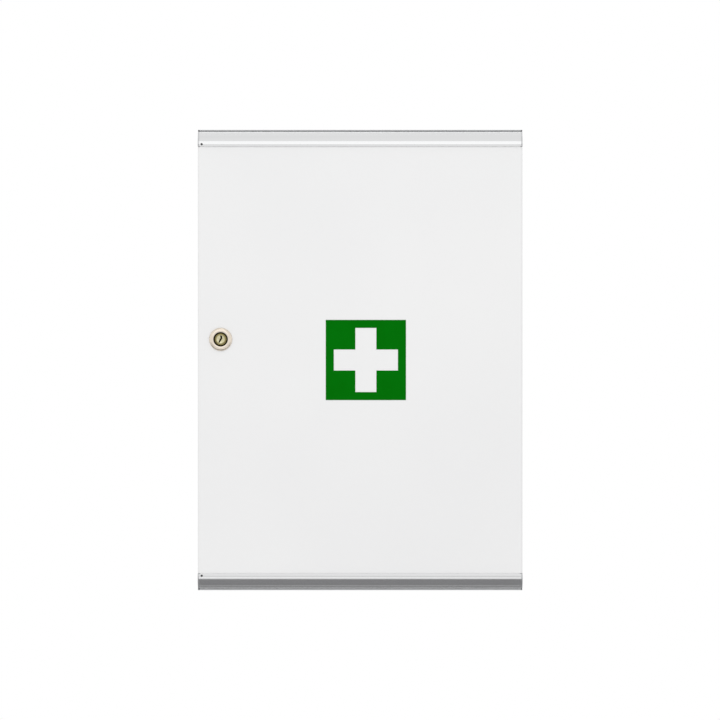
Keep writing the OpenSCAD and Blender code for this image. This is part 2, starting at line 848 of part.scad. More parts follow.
module lock_nut() {
    color(brass) on_lock() translate([0, 0, -skin_t - 2 * seam - washer_t - nut_t]) difference() {
        cylinder(r = nut_af / sqrt(3), h = nut_t, $fn = 6);
        translate([0, 0, -1]) cylinder(r = barrel_r + barrel_clear, h = nut_t + 2);
    }
}

// Outline of the keyway, stepped to the left and right so that only its own key goes in
module keyway() {
    w = keyway_w / 2;
    h = keyway_l / 2;
    ward = keyway_w / 3;
    rotate(-keyway_lean) polygon([
        [-w - ward, -h], [-ward, -h], [w - ward / 2, -h / 3], [w + ward, h / 3], [w, h],
        [-w - ward / 2, h], [-w + ward, h / 3], [-w - ward / 2, -h / 3]
    ]);
}

// Plug with a raised middle, a stepped keyway, a stop and a square for the cam
module lock_plug() {
    dish_r = 30;
    dish = 0.3;
    color(brass) on_lock() difference() {
        union() {
            rotate_extrude() difference() {
                polygon([[0, plug_end], [plug_r, plug_end], [plug_r, plug_face - boss_h],
                    [boss_r, plug_face], [0, plug_face]]);
                translate([0, plug_face - dish + dish_r]) circle(dish_r, $fn = 160);
            }
            translate([0, 0, plug_end]) linear_extrude(stop_l)
                sector(plug_r + stop_proud, stop_from, stop_turn);
            translate([-cam_square / 2, -cam_square / 2, cam_back + 0.1])
                cube([cam_square, cam_square, cam_t + 0.5]);
        }
        translate([0, 0, plug_face - keyway_d]) linear_extrude(keyway_d + 1) keyway();
        translate([0, 0, cam_back - 1]) cylinder(r = cam_screw_r + cam_play, h = cam_screw_l + 1.5);
    }
}

// Cam, hanging down while the door is unlocked
module lock_cam() {
    tip_r = cam_w / 2;
    color(zinc) on_lock() translate([0, 0, cam_back]) linear_extrude(cam_t) difference() {
        union() {
            circle(cam_square / sqrt(2) + cam_rim);
            translate([-tip_r, tip_r - cam_l]) square([cam_w, cam_l - tip_r]);
            intersection() {
                translate([0, tip_r - cam_l]) circle(tip_r + 0.4);
                translate([-tip_r, -cam_l]) square([cam_w, cam_w]);
            }
        }
        square(cam_square + 2 * cam_play, center = true);
    }
}

module cam_screw() {
    color(zinc) on_lock() {
        translate([0, 0, cam_back - cam_play - cam_head_t])
            cylinder(r = cam_screw_r + cam_head_rim, h = cam_head_t);
        translate([0, 0, cam_back - 2 * cam_play]) cylinder(r = cam_screw_r, h = cam_screw_l);
    }
}

// Plate behind the front flange, where the cam pulls
module strike_plate() {
    plate_w = front_flange - bend_r;
    color(zinc) translate([bend_r - body_w / 2, front_y + sheet_t + seam, lock_z - strike_h / 2])
        cube([plate_w, strike_t, strike_h]);
}

// Domed rubber buffers on the lock side, which the closed door rests on
module door_buffers() {
    buffer_h = door_gap - buffer_gap;
    color(buffer_grey) for (sz = [-1, 1])
        translate([front_flange / 2 - body_w / 2, front_y, sz * (door_h / 2 - rail_rear / 2 - end_overlay / 2)])
            rotate([90, 0, 0]) rotate_extrude() intersection() {
                square([buffer_r, buffer_h]);
                translate([0, buffer_h - buffer_dome]) circle(buffer_dome);
            }
}

back_panel();
left_side();
right_side();
top_panel();
bottom_panel();
shelf_rail_front_left();
shelf_rail_rear_left();
shelf_rail_front_right();
shelf_rail_rear_right();
upper_shelf();
lower_shelf();
upper_shelf_clips();
lower_shelf_clips();
hinge_bracket_upper();
hinge_bracket_lower();
hinge_pin_upper();
hinge_pin_lower();
strike_plate();
door_buffers();
door_panel();
door_stiffener();
hinge_leaf_upper();
hinge_leaf_lower();
top_rail();
bottom_rail();
top_rail_cap_left();
top_rail_cap_right();
bottom_rail_cap_left();
bottom_rail_cap_right();
rail_cap_screws();
rail_pins();
first_aid_sign();
lock_barrel();
lock_washer();
lock_nut();
lock_plug();
lock_cam();
cam_screw();
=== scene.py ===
import json
import math

import bmesh
import bpy
from mathutils import Matrix, Vector


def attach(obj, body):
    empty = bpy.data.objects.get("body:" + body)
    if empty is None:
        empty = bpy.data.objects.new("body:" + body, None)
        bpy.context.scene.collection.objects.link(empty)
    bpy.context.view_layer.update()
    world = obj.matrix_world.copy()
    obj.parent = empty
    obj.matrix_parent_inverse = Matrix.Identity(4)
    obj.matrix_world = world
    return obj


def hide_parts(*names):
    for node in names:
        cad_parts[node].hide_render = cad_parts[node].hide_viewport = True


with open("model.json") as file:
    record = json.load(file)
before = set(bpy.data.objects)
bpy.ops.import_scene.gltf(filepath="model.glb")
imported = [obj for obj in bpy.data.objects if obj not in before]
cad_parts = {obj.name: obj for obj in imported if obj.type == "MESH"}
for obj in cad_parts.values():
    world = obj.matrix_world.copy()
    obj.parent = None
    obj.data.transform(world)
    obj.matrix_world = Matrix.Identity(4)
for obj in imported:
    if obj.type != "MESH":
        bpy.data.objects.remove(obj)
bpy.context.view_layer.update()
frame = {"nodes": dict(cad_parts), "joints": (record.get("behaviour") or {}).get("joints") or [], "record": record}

mm = 0.001
nodes = frame["nodes"]
joints = {joint["name"]: joint for joint in frame["joints"]}
slotOf = {part["node"]: part["material_slot"] for part in frame["record"]["subparts"]}
bodies = frame["record"]["behaviour"]["bodies"]
bodyOf = {node: body for body, names in bodies.items() for node in names}
lockAxis = joints["lock_turn"]["pos_m"]
skinFront = -138.5  # depth of the door skin's front, in millimetres


# Small helpers for shader and geometry trees

def setInputs(tree, node, values):
    for key, value in values.items():
        if isinstance(value, bpy.types.NodeSocket):
            tree.links.new(value, node.inputs[key])
        else:
            node.inputs[key].default_value = value


def addNode(tree, kind, inputs=None, **settings):
    node = tree.nodes.new(kind)
    for key, value in settings.items():
        setattr(node, key, value)
    setInputs(tree, node, inputs or {})
    return node


def mathNode(tree, operation, first, second=0.0):
    return addNode(tree, "ShaderNodeMath", {0: first, 1: second}, operation=operation).outputs[0]


def rangeNode(tree, value, start, stop, low=0.0, high=1.0):
    return addNode(tree, "ShaderNodeMapRange", {
        "Value": value, "From Min": start, "From Max": stop, "To Min": low, "To Max": high,
    }).outputs[0]


def noise(tree, place, scale, detail=2.0, roughness=0.5):
    return addNode(tree, "ShaderNodeTexNoise", {
        "Vector": place, "Scale": scale, "Detail": detail, "Roughness": roughness}).outputs["Fac"]


def newGroup(name, values, results):  # every effect takes a place and gives values
    group = bpy.data.node_groups.new(name, "ShaderNodeTree")
    group.interface.new_socket("Vector", in_out="INPUT", socket_type="NodeSocketVector")
    for label, value in values.items():
        socket = group.interface.new_socket(label, in_out="INPUT", socket_type="NodeSocketFloat")
        socket.default_value = value
    for label in results:
        group.interface.new_socket(label, in_out="OUTPUT", socket_type="NodeSocketFloat")
    return group, group.nodes.new("NodeGroupInput"), group.nodes.new("NodeGroupOutput")


def useGroup(tree, group, **values):
    node = addNode(tree, "ShaderNodeGroup", node_tree=group)
    setInputs(tree, node, values)
    return node


# Effects that several finishes share: each gives a height for relief and a tone for patches

def makePeel():  # orange peel of a powder coat, with the slow waves of thin sheet under it
    values = {"Peel": 700.0, "Waves": 9.0, "WaveShare": 6.0, "Patches": 5.0}
    group, source, sink = newGroup("orangePeel", values, ("Height", "Tone"))
    place = source.outputs["Vector"]
    peel = noise(group, place, source.outputs["Peel"], detail=1.5, roughness=0.45)
    waves = noise(group, place, source.outputs["Waves"], detail=1.0)
    slow = mathNode(group, "MULTIPLY", waves, source.outputs["WaveShare"])
    patches = noise(group, place, source.outputs["Patches"])
    setInputs(group, sink, {"Height": mathNode(group, "ADD", peel, slow), "Tone": patches})
    return group


def makeStreaks():  # long fine lines along X, as a die leaves them on an extrusion
    group, source, sink = newGroup(
        "dieLines", {"Fineness": 1400.0, "Run": 3.0, "BandScale": 0.22}, ("Height", "Tone"))
    split = addNode(group, "ShaderNodeSeparateXYZ", {0: source.outputs["Vector"]}).outputs
    along = mathNode(group, "MULTIPLY", split["X"], source.outputs["Run"])
    deep, up = (
        mathNode(group, "MULTIPLY", split[axis], source.outputs["Fineness"]) for axis in "YZ")
    stretched = addNode(group, "ShaderNodeCombineXYZ", {0: along, 1: deep, 2: up}).outputs[0]
    fine = noise(group, stretched, 1.0, detail=3.0, roughness=0.7)
    bands = noise(group, stretched, source.outputs["BandScale"])
    setInputs(group, sink, {"Height": fine, "Tone": bands})
    return group


def makeGrain():  # fine grain with a slower mottle, for plated, moulded and printed surfaces
    group, source, sink = newGroup(
        "fineGrain", {"Fineness": 2500.0, "Mottle": 120.0}, ("Height", "Tone"))
    place = source.outputs["Vector"]
    grain = noise(group, place, source.outputs["Fineness"])
    mottle = noise(group, place, source.outputs["Mottle"], detail=3.0)
    setInputs(group, sink, {"Height": grain, "Tone": mottle})
    return group


def makeTurning():  # a lathe's rings, about an axis along Y through the vector's origin
    group, source, sink = newGroup(
        "turningMarks", {"Rings": 3000.0, "Smears": 260.0}, ("Height", "Tone", "Radius"))
    split = addNode(group, "ShaderNodeSeparateXYZ", {0: source.outputs["Vector"]}).outputs
    squares = [mathNode(group, "POWER", split[axis], 2.0) for axis in "XZ"]
    radius = mathNode(group, "SQRT", mathNode(group, "ADD", *squares))
    outward, deep = (
        mathNode(group, "MULTIPLY", value, source.outputs["Rings"]) for value in (radius, split["Y"]))
    place = addNode(group, "ShaderNodeCombineXYZ", {0: outward, 1: deep, 2: 0.0}).outputs[0]
    rings = noise(group, place, 1.0, roughness=0.6)
    smears = noise(group, source.outputs["Vector"], source.outputs["Smears"], detail=3.0)
    setInputs(group, sink, {"Height": rings, "Tone": smears, "Radius": radius})
    return group


orangePeel, dieLines = makePeel(), makeStreaks()
fineGrain, turningMarks = makeGrain(), makeTurning()
print("shared effects built")


# Finishes

lowNoise, highNoise = 0.3, 0.7  # most of a noise texture lies between these


def startFinish(name, metallic=0.0, specular=0.5):
    material = bpy.data.materials.new(name)
    material.use_nodes = True
    tree = material.node_tree
    shader = tree.nodes["Principled BSDF"]
    setInputs(tree, shader, {"Metallic": metallic, "Specular IOR Level": specular})
    place = tree.nodes.new("ShaderNodeTexCoord").outputs["Object"]
    return material, tree, shader, place


def spread(tree, mask, low, high):  # a noise becomes a value between low and high
    return rangeNode(tree, mask, lowNoise, highNoise, low, high)


def tint(tree, mask, first, second):  # a noise mixes two colours
    mixer = addNode(tree, "ShaderNodeMix", data_type="RGBA")
    tree.links.new(rangeNode(tree, mask, lowNoise, highNoise), mixer.inputs["Factor"])
    for socket, colour in ((6, first), (7, second)):  # the mixer's two colour inputs
        if isinstance(colour, bpy.types.NodeSocket):
            tree.links.new(colour, mixer.inputs[socket])
        else:
            mixer.inputs[socket].default_value = (*colour, 1)
    return mixer.outputs[2]


def coverWith(tree, shader, marks, colour, rough, height):
    relief = addNode(tree, "ShaderNodeBump", {
        "Height": marks.outputs["Height"], "Distance": height, "Strength": 1.0})
    setInputs(tree, shader, {
        "Base Color": colour,
        "Roughness": spread(tree, marks.outputs["Tone"], *rough),
        "Normal": relief.outputs[0],
    })


def simpleFinish(name, effect, dim, bright, rough, height, metallic=0.0, specular=0.5, **settings):
    material, tree, shader, place = startFinish(name, metallic, specular)
    marks = useGroup(tree, effect, Vector=place, **settings)
    coverWith(tree, shader, marks, tint(tree, marks.outputs["Tone"], dim, bright), rough, height)
    return material


well = {"clearBelow": 7.3, "goneAbove": 7.6, "hollowShare": 0.12}  # the lock's painted shade stays inside it


def lockFinish(name, dim, bright, grime, rough, height, shadeRingRadii, shadeDepths):
    # turned and plated, with painted shade in a ring between two radii about the lock's axis, and darker painted
    # shade in the hollows below its face
    material, tree, shader, place = startFinish(name, metallic=1.0)
    centre = addNode(tree, "ShaderNodeMapping", {
        "Vector": place, "Location": (-lockAxis[0], 0, -lockAxis[2])}, vector_type="POINT")
    marks = useGroup(tree, turningMarks, Vector=centre.outputs[0])
    radius = marks.outputs["Radius"]
    depth = addNode(tree, "ShaderNodeSeparateXYZ", {0: place}).outputs["Y"]
    within = rangeNode(tree, radius, well["goneAbove"] * mm, well["clearBelow"] * mm)
    layer = tint(tree, marks.outputs["Tone"], dim, bright)
    hollowShade = tuple(value * well["hollowShare"] for value in grime)
    # painted shade: a dark ring between two radii, then near-black painted shade in the well and keyway behind the
    # face
    for value, limits, colour in ((radius, shadeRingRadii, grime), (depth, shadeDepths, hollowShade)):
        unshadedAt, shadedAt = (limit * mm for limit in limits)
        shadeMask = rangeNode(tree, value, unshadedAt, shadedAt, lowNoise, highNoise)
        layer = tint(tree, mathNode(tree, "MULTIPLY", shadeMask, within), layer, colour)
    coverWith(tree, shader, marks, layer, rough, height)
    return material


finishes = {
    "powder_coat": simpleFinish(
        "powderCoatWhite", orangePeel, dim=(0.815, 0.815, 0.818), bright=(0.84, 0.84, 0.84),
        rough=(0.36, 0.44), height=0.000012, specular=0.45),
    "anodised": simpleFinish(
        "anodisedAluminium", dieLines, dim=(0.70, 0.705, 0.71), bright=(0.75, 0.752, 0.755),
        rough=(0.12, 0.18), height=0.0000015, metallic=1.0),
    "rail_cap": simpleFinish(
        "greyCapPlastic", fineGrain, dim=(0.50, 0.503, 0.51), bright=(0.57, 0.573, 0.58),
        rough=(0.26, 0.36), height=0.000006, metallic=0.8, specular=0.4),
    "zinc": simpleFinish(
        "brightZinc", fineGrain, dim=(0.58, 0.59, 0.60), bright=(0.72, 0.72, 0.71),
        rough=(0.26, 0.40), height=0.000003, metallic=1.0, Fineness=3500.0, Mottle=200.0),
    # painted shade on the flange: a dark ring at the well's mouth and a dark well below the face
    "lock_nickel": lockFinish(
        "warmNickel", dim=(0.72, 0.64, 0.545), bright=(0.82, 0.735, 0.63), grime=(0.05, 0.04, 0.018),
        rough=(0.12, 0.20), height=0.000001, shadeRingRadii=(7.45, 7.1), shadeDepths=(-138.4, -137.0)),
    # painted shade on the plug: a darker ring around its boss and a dark keyway below the face
    "lock_brass": lockFinish(
        "turnedBrass", dim=(0.52, 0.47, 0.28), bright=(0.76, 0.72, 0.50), grime=(0.24, 0.20, 0.08),
        rough=(0.18, 0.30), height=0.000002, shadeRingRadii=(3.6, 4.7), shadeDepths=(-139.9, -139.2)),
    "sign_vinyl": simpleFinish(
        "greenVinyl", fineGrain, dim=(0.0001, 0.142, 0.0012), bright=(0.0001, 0.154, 0.0020),
        rough=(0.38, 0.48), height=0.000004, specular=0.02, Fineness=1800.0, Mottle=60.0),
    "buffer_rubber": simpleFinish(
        "paleRubber", fineGrain, dim=(0.52, 0.52, 0.50), bright=(0.60, 0.60, 0.58),
        rough=(0.45, 0.6), height=0.00001, specular=0.4, Fineness=1500.0),
}
darkSteel = simpleFinish(  # the pins that lock the skin, blackened
    "blackenedSteel", fineGrain, dim=(0.05, 0.05, 0.052), bright=(0.11, 0.11, 0.112),
    rough=(0.35, 0.5), height=0.000003, metallic=1.0, Fineness=3500.0, Mottle=200.0)

for node, slot in slotOf.items():
    mesh = nodes[node].data
    mesh.materials.clear()
    mesh.materials.append(finishes[slot])
print("finishes on", len(nodes), "nodes")


# Tools for the pieces

def camel(name):
    first, *rest = name.split("_")
    return first + "".join(word.capitalize() for word in rest)


def bake(piece):  # the modifiers' result becomes the piece's plain mesh
    graph = bpy.context.evaluated_depsgraph_get()
    mesh = bpy.data.meshes.new_from_object(piece.evaluated_get(graph), depsgraph=graph)
    piece.modifiers.clear()
    piece.data = mesh


def linkPiece(name, mesh):
    piece = bpy.data.objects.new(name, mesh)
    bpy.context.collection.objects.link(piece)
    return piece


def dress(piece, slot):
    piece.data.materials.clear()
    piece.data.materials.append(finishes[slot])


def standFor(piece, node):  # the piece takes a node's place, body and finish
    dress(piece, slotOf[node])
    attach(piece, bodyOf[node])
    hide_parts(node)


def addTo(piece, body, slot):  # the piece is an extra detail on a body
    dress(piece, slot)
    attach(piece, body)


def meshFrom(name, shape, matrix=None):
    bmesh.ops.recalc_face_normals(shape, faces=shape.faces)
    mesh = bpy.data.meshes.new(name)
    shape.to_mesh(mesh)
    shape.free()
    if matrix is not None:
        mesh.transform(matrix)
        if matrix.determinant() < 0:
            mesh.flip_normals()
    return mesh


def around(loop):  # each item of a closed loop with the next
    return zip(loop, loop[1:] + loop[:1])


def soften(piece, width, segments=2, limit=28):  # works the edges sharper than limit, in degrees
    edge = piece.modifiers.new("edge", "BEVEL")
    edge.limit_method = "ANGLE"
    edge.angle_limit = math.radians(limit)
    edge.width = width * mm
    edge.segments = segments
    even = piece.modifiers.new("even", "WEIGHTED_NORMAL")
    even.mode = "FACE_AREA"
    even.weight = 100


def softenedCopy(node, width, segments, limit):  # a node's own form with worked edges
    weld = {"distance": 0.002, "flatWithin": 0.4}
    shape = bmesh.new()
    shape.from_mesh(nodes[node].data)
    bmesh.ops.remove_doubles(shape, verts=shape.verts, dist=weld["distance"] * mm)
    bmesh.ops.dissolve_limit(
        shape, angle_limit=math.radians(weld["flatWithin"]), verts=shape.verts, edges=shape.edges)
    mesh = bpy.data.meshes.new(camel(node))
    shape.to_mesh(mesh)
    shape.free()
    mesh.shade_smooth()
    piece = linkPiece(camel(node), mesh)
    soften(piece, width, segments, limit)
    bake(piece)
    standFor(piece, node)


# A row of equal copies, for slots, screws, pins and weld marks

def makeRowTree():
    mergeWithin = 0.004
    tree = bpy.data.node_groups.new("rowOfCopies", "GeometryNodeTree")
    kinds = {"Geometry": "NodeSocketGeometry", "Unit": "NodeSocketObject", "Count": "NodeSocketInt",
             "Step": "NodeSocketVector", "Finish": "NodeSocketMaterial"}
    sockets = {name: tree.interface.new_socket(name, in_out="INPUT", socket_type=kind)
               for name, kind in kinds.items()}
    tree.interface.new_socket("Geometry", in_out="OUTPUT", socket_type="NodeSocketGeometry")
    source = tree.nodes.new("NodeGroupInput")
    sink = tree.nodes.new("NodeGroupOutput")
    line = addNode(tree, "GeometryNodeMeshLine", {
        "Count": source.outputs["Count"], "Offset": source.outputs["Step"]}, mode="OFFSET")
    unit = addNode(tree, "GeometryNodeObjectInfo", {
        "Object": source.outputs["Unit"]}, transform_space="ORIGINAL")
    copies = addNode(tree, "GeometryNodeInstanceOnPoints", {
        "Points": line.outputs["Mesh"], "Instance": unit.outputs["Geometry"]})
    real = addNode(tree, "GeometryNodeRealizeInstances", {0: copies.outputs[0]})
    joined = tree.nodes.new("GeometryNodeJoinGeometry")
    tree.links.new(real.outputs[0], joined.inputs[0])
    tree.links.new(source.outputs["Geometry"], joined.inputs[0])
    merged = addNode(tree, "GeometryNodeMergeByDistance", {
        "Geometry": joined.outputs[0], "Distance": mergeWithin * mm})
    painted = addNode(tree, "GeometryNodeSetMaterial", {
        "Geometry": merged.outputs[0], "Material": source.outputs["Finish"]})
    tree.links.new(painted.outputs[0], sink.inputs[0])
    return tree, {name: socket.identifier for name, socket in sockets.items()}


rowTree, rowSocket = makeRowTree()


def rowOfCopies(name, unitMesh, count, step, slot, endMesh=None):
    unit = linkPiece(name + "Unit", unitMesh)
    piece = linkPiece(name, endMesh or bpy.data.meshes.new(name))
    row = piece.modifiers.new("row", "NODES")
    row.node_group = rowTree
    row[rowSocket["Unit"]] = unit
    row[rowSocket["Count"]] = count
    row[rowSocket["Step"]] = [value * mm for value in step]
    row[rowSocket["Finish"]] = finishes[slot]
    bake(piece)
    bpy.data.objects.remove(unit)
    return piece


# Sheets, rails, hinges, lock parts and the sign with worked edges, by width in millimetres

edgeWidths = {
    "back_panel": 0.2, "left_side": 0.2, "right_side": 0.2, "top_panel": 0.2, "bottom_panel": 0.2,
    "upper_shelf": 0.2, "lower_shelf": 0.2, "upper_shelf_clips": 0.3, "lower_shelf_clips": 0.3,
    "hinge_bracket_upper": 0.3, "hinge_bracket_lower": 0.3, "hinge_pin_upper": 0.3,
    "hinge_pin_lower": 0.3, "strike_plate": 0.25, "door_buffers": 0.15, "door_panel": 0.15,
    "door_stiffener": 0.2, "hinge_leaf_upper": 0.3, "hinge_leaf_lower": 0.3, "top_rail": 0.06,
    "bottom_rail": 0.06, "top_rail_cap_left": 0.15, "top_rail_cap_right": 0.15,
    "bottom_rail_cap_left": 0.15, "bottom_rail_cap_right": 0.15, "first_aid_sign": 0.05,
    "lock_washer": 0.15, "lock_nut": 0.45, "lock_plug": 0.05, "lock_cam": 0.25, "cam_screw": 0.35,
}
wideEdge = 0.25  # wider edges than this are rounded in three segments
edgeLimit, railLimit = 28, 50  # the rails' groove and score line stay crisp

for node, width in edgeWidths.items():
    segments = 3 if width > wideEdge else 2
    softenedCopy(node, width, segments, railLimit if node.endswith("_rail") else edgeLimit)
print("worked edges on", len(edgeWidths), "pieces")


# Slotted shelf rails

def faceOutward(mesh):  # all faces of the open strip look to the cabinet's middle
    shape = bmesh.new()
    shape.from_mesh(mesh)
    bmesh.ops.recalc_face_normals(shape, faces=shape.faces)
    if sum(face.normal.x * face.calc_area() for face in shape.faces) < 0:
        bmesh.ops.reverse_faces(shape, faces=shape.faces)
    shape.to_mesh(mesh)
    shape.free()


def shelfRail(node, side, depth):
    rail = {
        "face": 153.5, "foot": 159.4, "half": 7.0, "length": 402.0, "sheet": 1.0, "edge": 0.15,
        "round": 2.0, "roundSteps": 6, "pitch": 25.0, "slots": 15, "slotWide": 9.0, "slotHigh": 3.5,
        "slotRound": 0.6, "slotSteps": 3, "mergeWithin": 0.001,
    }
    flat = rail["half"] - rail["round"]
    outline = []
    for step in range(rail["roundSteps"] + 1):
        angle = math.radians(90 * step / rail["roundSteps"])
        outline.append((
            flat + rail["round"] * math.sin(angle), rail["round"] * (1 - math.cos(angle))))
    outline.append((rail["half"], rail["foot"] - rail["face"]))

    def strip(shape, low, high, whole):  # folded sides, and the flat web where no slot is wanted
        for sign in (1, -1):
            rows = [[shape.verts.new((-x, sign * y, z)) for y, x in outline] for z in (low, high)]
            for i in range(len(outline) - 1):
                shape.faces.new((rows[0][i], rows[0][i + 1], rows[1][i + 1], rows[1][i]))
        if whole:
            corners = [(0, -flat, low), (0, flat, low), (0, flat, high), (0, -flat, high)]
            shape.faces.new([shape.verts.new(corner) for corner in corners])

    def slotted(shape, low, high):  # flat web with a round-cornered slot
        inset = rail["slotRound"]
        across, up = rail["slotWide"] / 2 - inset, rail["slotHigh"] / 2 - inset
        outer = [(-flat, low), (flat, low), (flat, high), (-flat, high)]
        hole = []
        for turn, (y, z) in enumerate(((across, up), (-across, up), (-across, -up), (across, -up))):
            for step in range(rail["slotSteps"] + 1):
                angle = math.radians(90 * turn + 90 * step / rail["slotSteps"])
                hole.append((y + inset * math.cos(angle), z + inset * math.sin(angle)))
        edges = []
        for loop in (outer, hole):
            ring = [shape.verts.new((0, y, z)) for y, z in loop]
            edges += [shape.edges.new(pair) for pair in around(ring)]
        bmesh.ops.triangle_fill(shape, use_beauty=True, edges=edges)

    half = rail["pitch"] / 2
    first = -(rail["slots"] - 1) / 2 * rail["pitch"]
    unit = bmesh.new()
    strip(unit, -half, half, whole=False)
    slotted(unit, -half, half)
    ends = bmesh.new()
    strip(ends, -rail["length"] / 2, first - half, whole=True)
    strip(ends, half - first, rail["length"] / 2, whole=True)
    for shape in (unit, ends):
        bmesh.ops.remove_doubles(shape, verts=shape.verts, dist=rail["mergeWithin"])
    scale = Matrix.Scale(mm, 4)
    unitMesh = meshFrom("slotUnit", unit, scale @ Matrix.Translation((0, 0, first)))
    endMesh = meshFrom("railEnds", ends, scale)
    piece = rowOfCopies(
        camel(node), unitMesh, rail["slots"], (0, 0, rail["pitch"]), slotOf[node], endMesh)
    faceOutward(piece.data)
    wall = piece.modifiers.new("wall", "SOLIDIFY")
    wall.thickness = rail["sheet"] * mm
    wall.offset = -1
    wall.use_even_offset = True
    piece.data.shade_smooth()
    soften(piece, rail["edge"])
    bake(piece)
    place = Matrix.Translation((-rail["face"] * mm, depth * mm, 0))
    if side > 0:
        place = Matrix.Scale(-1, 4, (1, 0, 0)) @ place
    piece.data.transform(place)
    if side > 0:
        piece.data.flip_normals()
    standFor(piece, node)


for side, name in ((-1, "left"), (1, "right")):
    for depth, row in ((-94.0, "front"), (-20.0, "rear")):
        shelfRail(f"shelf_rail_{row}_{name}", side, depth)
print("shelf rails built")


# Lock barrel with its rounded flange, dark well, thread and flats

def turnedShape(outline, steps, bend):  # bend gives the place of each outline point at each angle
    shape = bmesh.new()
    rings = []
    for i in range(steps):
        angle = 2 * math.pi * i / steps
        rings.append([shape.verts.new(bend(angle, *point)) for point in outline])
    for i in range(steps):
        here, after = rings[i], rings[(i + 1) % steps]
        for j in range(len(outline)):
            k = (j + 1) % len(outline)
            shape.faces.new((here[j], here[k], after[k], after[j]))
    return shape


def lockBarrel():
    lock = {
        "flange": 11.5, "seat": 0.1, "seatBreak": 0.12, "roundAt": (8.4, -0.9), "round": 3.4,
        "roundSteps": 18, "rimIn": 0.14, "rimEase": ((0.04, 0.05), (0.0, 0.16)), "well": 7.1,
        "wellFloor": -1.5, "bore": 6.18, "recess": 7.58, "recessFrom": -21.42, "recessArc": (-47, 71),
        "end": -23.0, "endBreak": 0.4, "body": 9.5, "flats": 8.0, "pitch": 1.0, "pitchSteps": 4,
        "thread": 0.32, "threadTo": -1.6, "threadRunOut": 0.2, "steps": 120, "sharpAt": 38,
    }
    roundOut, roundUp = lock["roundAt"]
    outline = [
        (lock["body"], lock["seat"], "body"),
        (lock["flange"] - lock["seatBreak"], lock["seat"], "face"),
        (lock["flange"], lock["seat"] + lock["seatBreak"], "face"),
    ]
    start = math.acos((lock["flange"] - roundOut) / lock["round"])
    stop = math.pi - math.acos((roundOut - lock["well"] - lock["rimIn"]) / lock["round"])
    for step in range(lock["roundSteps"] + 1):
        angle = start + (stop - start) * step / lock["roundSteps"]
        outline.append((
            roundOut + lock["round"] * math.cos(angle),
            roundUp + lock["round"] * math.sin(angle), "face"))
    rim = outline[-1][1]
    outline += [(lock["well"] + out, rim - down, "face") for out, down in lock["rimEase"]]
    outline += [
        (lock["well"], lock["wellFloor"], "face"), (lock["bore"], lock["wellFloor"], "face"),
        (lock["bore"], lock["recessFrom"], "face"), (lock["bore"], lock["recessFrom"], "recess"),
        (lock["bore"], lock["end"], "recess"), (lock["body"] - lock["endBreak"], lock["end"], "body"),
    ]
    depth = lock["end"] + lock["endBreak"]
    while depth < lock["threadTo"]:
        outline.append((lock["body"], depth, "thread"))
        depth += lock["pitch"] / lock["pitchSteps"]
    outline.append((lock["body"], lock["threadTo"] + lock["threadRunOut"], "body"))

    def bend(angle, radius, depth, part):
        if part == "thread":
            phase = (depth / lock["pitch"] + angle / (2 * math.pi)) % 1.0
            radius -= lock["thread"] * abs(2 * phase - 1)
        if part == "recess":
            turn = (math.degrees(angle) + 180) % 360 - 180
            if lock["recessArc"][0] <= turn <= lock["recessArc"][1]:
                radius = lock["recess"]
        across, up = radius * math.cos(angle), radius * math.sin(angle)
        if part in ("thread", "body"):
            across = max(-lock["flats"], min(lock["flats"], across))
        return (lockAxis[0] + across * mm, (skinFront - depth) * mm, lockAxis[2] + up * mm)

    mesh = meshFrom("lockBarrel", turnedShape(outline, lock["steps"], bend))
    mesh.shade_smooth()
    mesh.set_sharp_from_angle(angle=math.radians(lock["sharpAt"]))
    standFor(linkPiece("lockBarrel", mesh), "lock_barrel")


lockBarrel()
print("lock barrel turned")


# Screws of the caps, and pins that lock the skin in the rails

def joinPieces(name, rows, node, sharpAt):
    shape = bmesh.new()
    for row in rows:
        shape.from_mesh(row.data)
        bpy.data.objects.remove(row)
    mesh = bpy.data.meshes.new(name)
    shape.to_mesh(mesh)
    shape.free()
    mesh.shade_smooth()
    mesh.set_sharp_from_angle(angle=math.radians(sharpAt))
    piece = linkPiece(name, mesh)
    standFor(piece, node)
    return piece


def crossScrew():  # countersunk, with a cross recess: its face at z = 0, its shank along -z
    screw = {
        "head": 2.0, "rim": 0.06, "shank": 1.05, "length": 10.9, "tip": 0.3, "tipLength": 0.6,
        "crossReach": 1.15, "crossHalf": 0.28, "crossDeep": 0.7, "crossTaper": 0.5, "steps": 32,
    }
    shape = bmesh.new()
    ring = []
    for i in range(screw["steps"]):
        angle = 2 * math.pi * i / screw["steps"]
        ring.append(shape.verts.new((
            screw["head"] * math.cos(angle), screw["head"] * math.sin(angle), 0)))
    arm, reach = screw["crossHalf"], screw["crossReach"]
    outline = []
    for cosine, sine in ((1, 0), (0, 1), (-1, 0), (0, -1)):
        for x, y in ((reach, -arm), (reach, arm), (arm, arm)):
            outline.append((cosine * x - sine * y, sine * x + cosine * y))
    taper = screw["crossTaper"]
    cross = [shape.verts.new((x, y, 0)) for x, y in outline]
    floor = [shape.verts.new((x * taper, y * taper, -screw["crossDeep"])) for x, y in outline]
    edges = [shape.edges.new(pair) for loop in (ring, cross) for pair in around(loop)]
    bmesh.ops.triangle_fill(shape, use_beauty=True, edges=edges)
    for i in range(len(cross)):
        k = (i + 1) % len(cross)
        shape.faces.new((cross[i], cross[k], floor[k], floor[i]))
    shape.faces.new(floor)
    rings = [ring]
    for radius, z in (
        (screw["head"], -screw["rim"]), (screw["shank"], screw["shank"] - screw["head"]),
        (screw["shank"], -screw["length"]), (screw["tip"], -screw["length"] - screw["tipLength"]),
    ):
        ratio = radius / screw["head"]
        rings.append([
            shape.verts.new((ratio * vertex.co.x, ratio * vertex.co.y, z)) for vertex in ring])
    for upper, lower in zip(rings, rings[1:]):
        for i in range(len(ring)):
            k = (i + 1) % len(ring)
            shape.faces.new((upper[i], upper[k], lower[k], lower[i]))
    shape.faces.new(rings[-1])
    return shape


